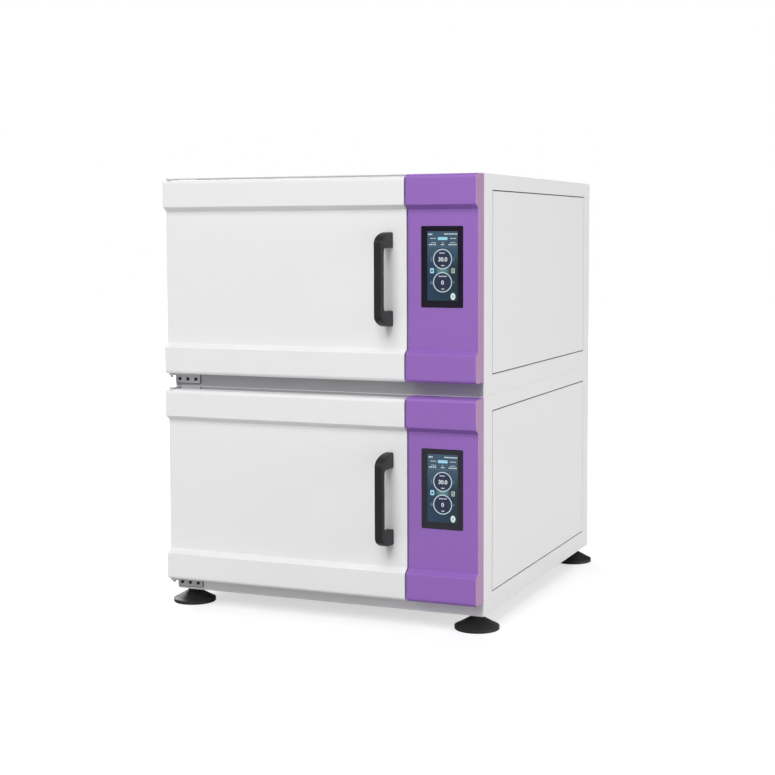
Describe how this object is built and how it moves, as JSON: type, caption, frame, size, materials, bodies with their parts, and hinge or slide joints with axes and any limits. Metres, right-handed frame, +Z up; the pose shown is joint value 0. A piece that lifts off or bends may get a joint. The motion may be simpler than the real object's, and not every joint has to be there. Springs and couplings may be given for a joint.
{
  "type": "stacked incubator shaker",
  "caption": "Stacked benchtop incubator shaker with side-hinged insulated doors, bridge handles, portrait touch displays and an orbital tray drive in each chamber.",
  "frame": {"origin": "middle of the whole footprint, handles included, on the floor under the feet", "axes": "+Z up; the doors and displays face -Y; +X is to the right as seen from the front"},
  "size_m": [0.807, 0.949, 0.995],
  "materials": {
    "white_paint": "satin powder coat",
    "hinge_paint": "satin powder coat",
    "purple_moulding": "satin moulded plastic",
    "display_glass": "glossy touch glass on its housing",
    "door_lining": "white moulded lining over rigid foam",
    "seal_rubber": "soft grey silicone",
    "handle_black": "black satin coating",
    "steel_fasteners": "zinc plated",
    "dark_screws": "blackened steel",
    "foot_black": "matt black",
    "rigid_foam": "rigid insulation foam",
    "stainless": "brushed stainless",
    "drive_casting": "cast and machined",
    "drive_steel": "turned steel",
    "motor_dark": "dark housing",
    "belt_rubber": "matt",
    "heater_metal": "heat-darkened sheath",
    "electronics": "circuit board and supply",
    "inlet_black": "matt black"
  },
  "bodies": {
    "cabinets": {"foot_nuts": "steel_fasteners", "stacking_studs": "steel_fasteners", "chamber_liners": "stainless", "front_frames": "white_paint", "hinge_brackets": "hinge_paint", "hinge_screws": "dark_screws", "drive_bases": "drive_casting", "drive_motors": "motor_dark", "drive_belts": "belt_rubber", "floor_covers": "stainless", "air_baffles": "stainless", "fan_motors": "motor_dark", "ring_heaters": "heater_metal", "control_electronics": "electronics", "power_inlets": "inlet_black", "lower_base_pan": "white_paint", "lower_case": "white_paint", "lower_side_panel": "white_paint", "lower_back_panel": "white_paint", "lower_insulation": "rigid_foam", "lower_fascia": "purple_moulding", "lower_display": "display_glass", "upper_base_pan": "white_paint", "upper_case": "white_paint", "upper_side_panel": "white_paint", "upper_back_panel": "white_paint", "upper_insulation": "rigid_foam", "upper_fascia": "purple_moulding", "upper_display": "display_glass"},
    "foot_front_left": {"foot_front_left": "foot_black"},
    "foot_front_right": {"foot_front_right": "foot_black"},
    "foot_rear_left": {"foot_rear_left": "foot_black"},
    "foot_rear_right": {"foot_rear_right": "foot_black"},
    "lower_door": {"lower_door_skin": "white_paint", "lower_door_inner": "door_lining", "lower_door_gasket": "seal_rubber", "lower_handle": "handle_black", "lower_handle_screws": "steel_fasteners"},
    "lower_motor_pulley": {"lower_motor_pulley": "drive_steel"},
    "lower_crank": {"lower_crank": "drive_steel"},
    "lower_idler_left": {"lower_idler_left": "drive_steel"},
    "lower_idler_right": {"lower_idler_right": "drive_steel"},
    "lower_platform": {"lower_platform_carrier": "drive_casting", "lower_platform_tray": "stainless"},
    "lower_fan": {"lower_fan_wheel": "drive_casting"},
    "lower_rocker": {"lower_rocker": "inlet_black"},
    "upper_door": {"upper_door_skin": "white_paint", "upper_door_inner": "door_lining", "upper_door_gasket": "seal_rubber", "upper_handle": "handle_black", "upper_handle_screws": "steel_fasteners"},
    "upper_motor_pulley": {"upper_motor_pulley": "drive_steel"},
    "upper_crank": {"upper_crank": "drive_steel"},
    "upper_idler_left": {"upper_idler_left": "drive_steel"},
    "upper_idler_right": {"upper_idler_right": "drive_steel"},
    "upper_platform": {"upper_platform_carrier": "drive_casting", "upper_platform_tray": "stainless"},
    "upper_fan": {"upper_fan_wheel": "drive_casting"},
    "upper_rocker": {"upper_rocker": "inlet_black"}
  },
  "joints": [
    {"name": "foot_front_left_height", "type": "slide", "parent": "cabinets", "child": "foot_front_left", "axis": [0, 0, -1], "range_m": [0, 0.012]},
    {"name": "foot_front_right_height", "type": "slide", "parent": "cabinets", "child": "foot_front_right", "axis": [0, 0, -1], "range_m": [0, 0.012]},
    {"name": "foot_rear_left_height", "type": "slide", "parent": "cabinets", "child": "foot_rear_left", "axis": [0, 0, -1], "range_m": [0, 0.012]},
    {"name": "foot_rear_right_height", "type": "slide", "parent": "cabinets", "child": "foot_rear_right", "axis": [0, 0, -1], "range_m": [0, 0.012]},
    {"name": "lower_door_swing", "type": "hinge", "parent": "cabinets", "child": "lower_door", "pos_m": [-0.371, -0.4095, 0.2875], "axis": [0, 0, -1], "range_deg": [0, 110]},
    {"name": "lower_crank_spin", "type": "hinge", "parent": "cabinets", "child": "lower_crank", "pos_m": [-0.08, -0.2055, 0.135], "axis": [0, 0, 1], "continuous": true},
    {"name": "lower_motor_pulley_spin", "type": "hinge", "parent": "cabinets", "child": "lower_motor_pulley", "pos_m": [-0.08, -0.0305, 0.135], "axis": [0, 0, 1], "continuous": true},
    {"name": "lower_idler_left_spin", "type": "hinge", "parent": "cabinets", "child": "lower_idler_left", "pos_m": [-0.24, 0.1245, 0.135], "axis": [0, 0, 1], "continuous": true},
    {"name": "lower_idler_right_spin", "type": "hinge", "parent": "cabinets", "child": "lower_idler_right", "pos_m": [0.08, 0.1245, 0.135], "axis": [0, 0, 1], "continuous": true},
    {"name": "lower_platform_spin", "type": "hinge", "parent": "lower_crank", "child": "lower_platform", "pos_m": [-0.08, -0.193, 0.175], "axis": [0, 0, 1], "continuous": true},
    {"name": "lower_fan_spin", "type": "hinge", "parent": "cabinets", "child": "lower_fan", "pos_m": [-0.08, 0.3, 0.318], "axis": [0, 1, 0], "continuous": true},
    {"name": "lower_power_switch", "type": "hinge", "parent": "cabinets", "child": "lower_rocker", "pos_m": [0.318, 0.467, 0.151], "axis": [1, 0, 0], "range_deg": [-16, 0]},
    {"name": "upper_door_swing", "type": "hinge", "parent": "cabinets", "child": "upper_door", "pos_m": [-0.371, -0.4095, 0.7675], "axis": [0, 0, -1], "range_deg": [0, 110]},
    {"name": "upper_crank_spin", "type": "hinge", "parent": "cabinets", "child": "upper_crank", "pos_m": [-0.08, -0.2055, 0.615], "axis": [0, 0, 1], "continuous": true},
    {"name": "upper_motor_pulley_spin", "type": "hinge", "parent": "cabinets", "child": "upper_motor_pulley", "pos_m": [-0.08, -0.0305, 0.615], "axis": [0, 0, 1], "continuous": true},
    {"name": "upper_idler_left_spin", "type": "hinge", "parent": "cabinets", "child": "upper_idler_left", "pos_m": [-0.24, 0.1245, 0.615], "axis": [0, 0, 1], "continuous": true},
    {"name": "upper_idler_right_spin", "type": "hinge", "parent": "cabinets", "child": "upper_idler_right", "pos_m": [0.08, 0.1245, 0.615], "axis": [0, 0, 1], "continuous": true},
    {"name": "upper_platform_spin", "type": "hinge", "parent": "upper_crank", "child": "upper_platform", "pos_m": [-0.08, -0.193, 0.655], "axis": [0, 0, 1], "continuous": true},
    {"name": "upper_fan_spin", "type": "hinge", "parent": "cabinets", "child": "upper_fan", "pos_m": [-0.08, 0.3, 0.798], "axis": [0, 1, 0], "continuous": true},
    {"name": "upper_power_switch", "type": "hinge", "parent": "cabinets", "child": "upper_rocker", "pos_m": [0.318, 0.467, 0.631], "axis": [1, 0, 0], "range_deg": [-16, 0]}
  ],
  "couplings": [
    {"joint": "lower_motor_pulley_spin", "follows": "lower_crank_spin", "ratio": 3},
    {"joint": "lower_idler_left_spin", "follows": "lower_crank_spin", "ratio": 1},
    {"joint": "lower_idler_right_spin", "follows": "lower_crank_spin", "ratio": 1},
    {"joint": "lower_platform_spin", "follows": "lower_crank_spin", "ratio": -1},
    {"joint": "upper_motor_pulley_spin", "follows": "upper_crank_spin", "ratio": 3},
    {"joint": "upper_idler_left_spin", "follows": "upper_crank_spin", "ratio": 1},
    {"joint": "upper_idler_right_spin", "follows": "upper_crank_spin", "ratio": 1},
    {"joint": "upper_platform_spin", "follows": "upper_crank_spin", "ratio": -1}
  ]
}
